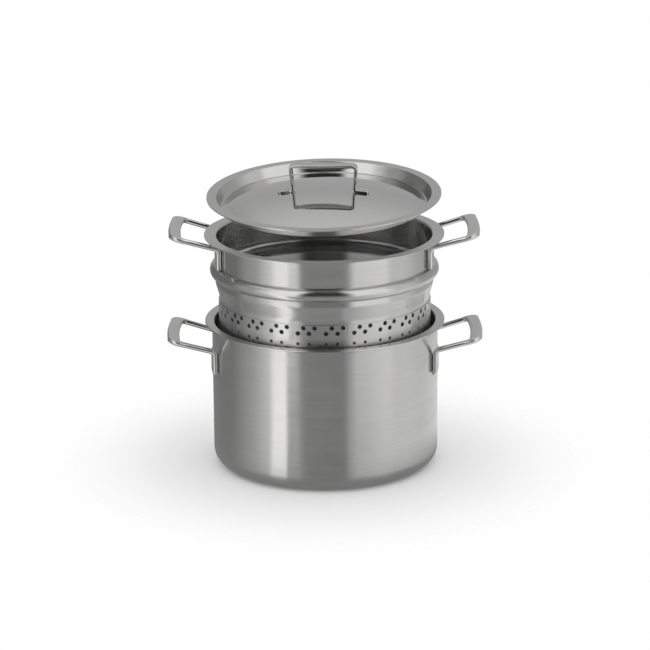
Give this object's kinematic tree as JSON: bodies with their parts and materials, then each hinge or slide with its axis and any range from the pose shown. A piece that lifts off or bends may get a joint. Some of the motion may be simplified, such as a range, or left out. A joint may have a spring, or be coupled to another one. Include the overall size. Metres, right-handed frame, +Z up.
{
  "type": "pasta pot with strainer insert",
  "caption": "Tall steel pasta pot with a lift-out perforated strainer insert, riveted rod side handles and a sunken domed lid with a strap handle.",
  "frame": {"origin": "middle of the pot's underside, on the surface it stands on", "axes": "+Z up along the pot's axis, +X through the right-hand side handle, -Y to the front"},
  "size_m": [0.3424, 0.26, 0.3323],
  "materials": {
    "satin_wall": "satin, brushed round the pot",
    "bright_sheet": "bright, nearly mirror polished",
    "satin_lid": "satin disc with a polished lip",
    "polished_handle": "polished rod and strip with satin grips",
    "pressed_plate": "pressed, smooth satin",
    "rivet_steel": "smooth domed heads"
  },
  "bodies": {
    "pot": {"pot_body": "satin_wall", "pot_handle_left": "polished_handle", "pot_flange_left": "pressed_plate", "pot_rivets_left": "rivet_steel", "pot_handle_right": "polished_handle", "pot_flange_right": "pressed_plate", "pot_rivets_right": "rivet_steel"},
    "insert": {"insert_body": "bright_sheet", "insert_handle_left": "polished_handle", "insert_flange_left": "pressed_plate", "insert_rivets_left": "rivet_steel", "insert_handle_right": "polished_handle", "insert_flange_right": "pressed_plate", "insert_rivets_right": "rivet_steel"},
    "lid": {"lid_pan": "satin_lid", "lid_handle": "polished_handle", "lid_rivets_left": "rivet_steel", "lid_rivets_right": "rivet_steel"}
  },
  "joints": [
    {"name": "insert_lift", "type": "slide", "parent": "pot", "child": "insert", "axis": [0, 0, 1], "range_m": [-0.0508, 0.12]},
    {"name": "lid_lift", "type": "hinge", "parent": "insert", "child": "lid", "pos_m": [-0.11179, -0.53509, 0.27756], "axis": [0.9789, -0.2045, 0], "range_deg": [-4.4, 8]}
  ]
}
